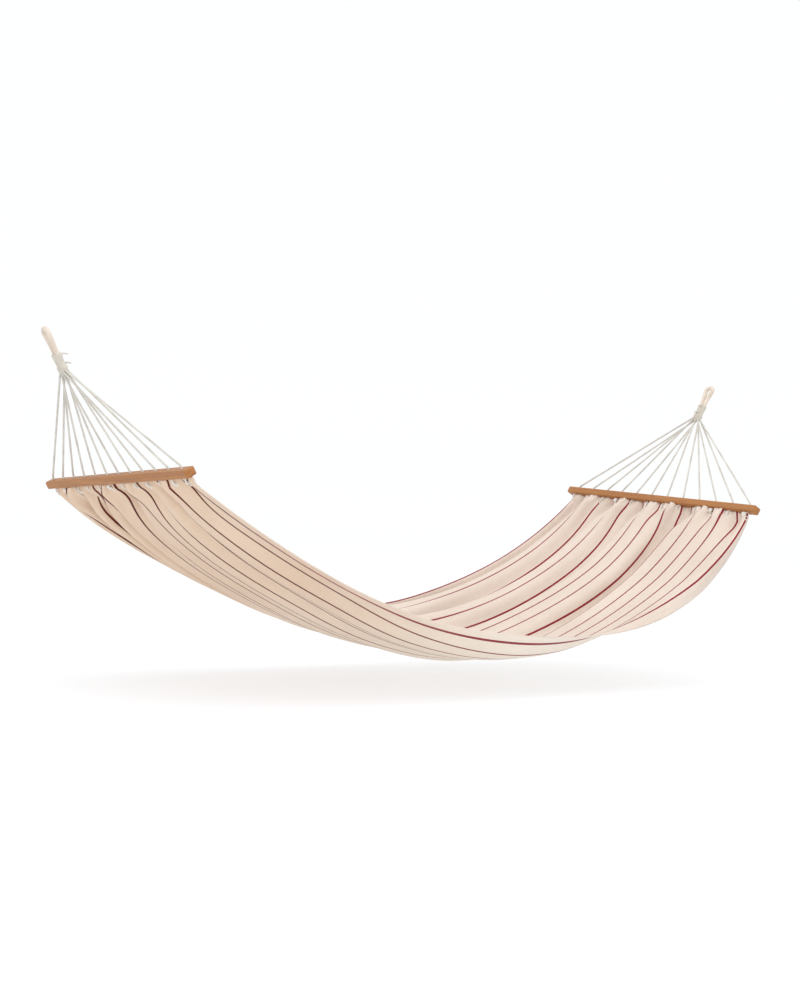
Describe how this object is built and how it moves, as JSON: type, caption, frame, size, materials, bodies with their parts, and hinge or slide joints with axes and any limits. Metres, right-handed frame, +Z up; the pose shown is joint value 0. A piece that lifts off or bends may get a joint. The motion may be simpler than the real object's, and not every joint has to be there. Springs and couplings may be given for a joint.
{
  "type": "hammock",
  "caption": "Spreader-bar hammock: striped cloth bed gathered under wooden bars, fans of cords and hanging eye loops.",
  "frame": {"origin": "seat of the left eye loop, the inner top of the loop where its hook bears", "axes": "+X level to the seat of the right eye loop, +Y across the bed, +Z up; the throats lie on one line along X"},
  "size_m": [2.0689, 0.8501, 0.7653],
  "materials": {
    "bar_wood": "satin",
    "cotton_cord": "matte",
    "whipping_twine": "matte",
    "bed_canvas": "matte"
  },
  "bodies": {
    "eye_loops": {"left_eye_loop": "cotton_cord", "left_whipping": "whipping_twine", "right_eye_loop": "cotton_cord", "right_whipping": "whipping_twine"},
    "left_end": {"left_cord_01": "cotton_cord", "left_cord_02": "cotton_cord", "left_cord_03": "cotton_cord", "left_cord_04": "cotton_cord", "left_cord_05": "cotton_cord", "left_cord_06": "cotton_cord", "left_cord_07": "cotton_cord", "left_cord_08": "cotton_cord", "left_cord_09": "cotton_cord", "left_cord_10": "cotton_cord", "left_cord_11": "cotton_cord", "left_cord_12": "cotton_cord", "left_spreader_bar": "bar_wood", "left_cord_knots": "cotton_cord", "left_hem": "bed_canvas", "left_bed_cloth": "bed_canvas"},
    "right_end": {"right_cord_01": "cotton_cord", "right_cord_02": "cotton_cord", "right_cord_03": "cotton_cord", "right_cord_04": "cotton_cord", "right_cord_05": "cotton_cord", "right_cord_06": "cotton_cord", "right_cord_07": "cotton_cord", "right_cord_08": "cotton_cord", "right_cord_09": "cotton_cord", "right_cord_10": "cotton_cord", "right_cord_11": "cotton_cord", "right_cord_12": "cotton_cord", "right_spreader_bar": "bar_wood", "right_cord_knots": "cotton_cord", "right_hem": "bed_canvas", "right_bed_cloth": "bed_canvas"}
  },
  "joints": [
    {"name": "swing", "type": "hinge", "parent": "eye_loops", "child": "left_end", "pos_m": [0.04362, 0, -0.081], "axis": [1, 0, 0], "range_deg": [-30, 30]},
    {"name": "twist", "type": "hinge", "parent": "left_end", "child": "right_end", "pos_m": [2.00762, 0, -0.081], "axis": [1, 0, 0], "range_deg": [-15, 10]}
  ]
}
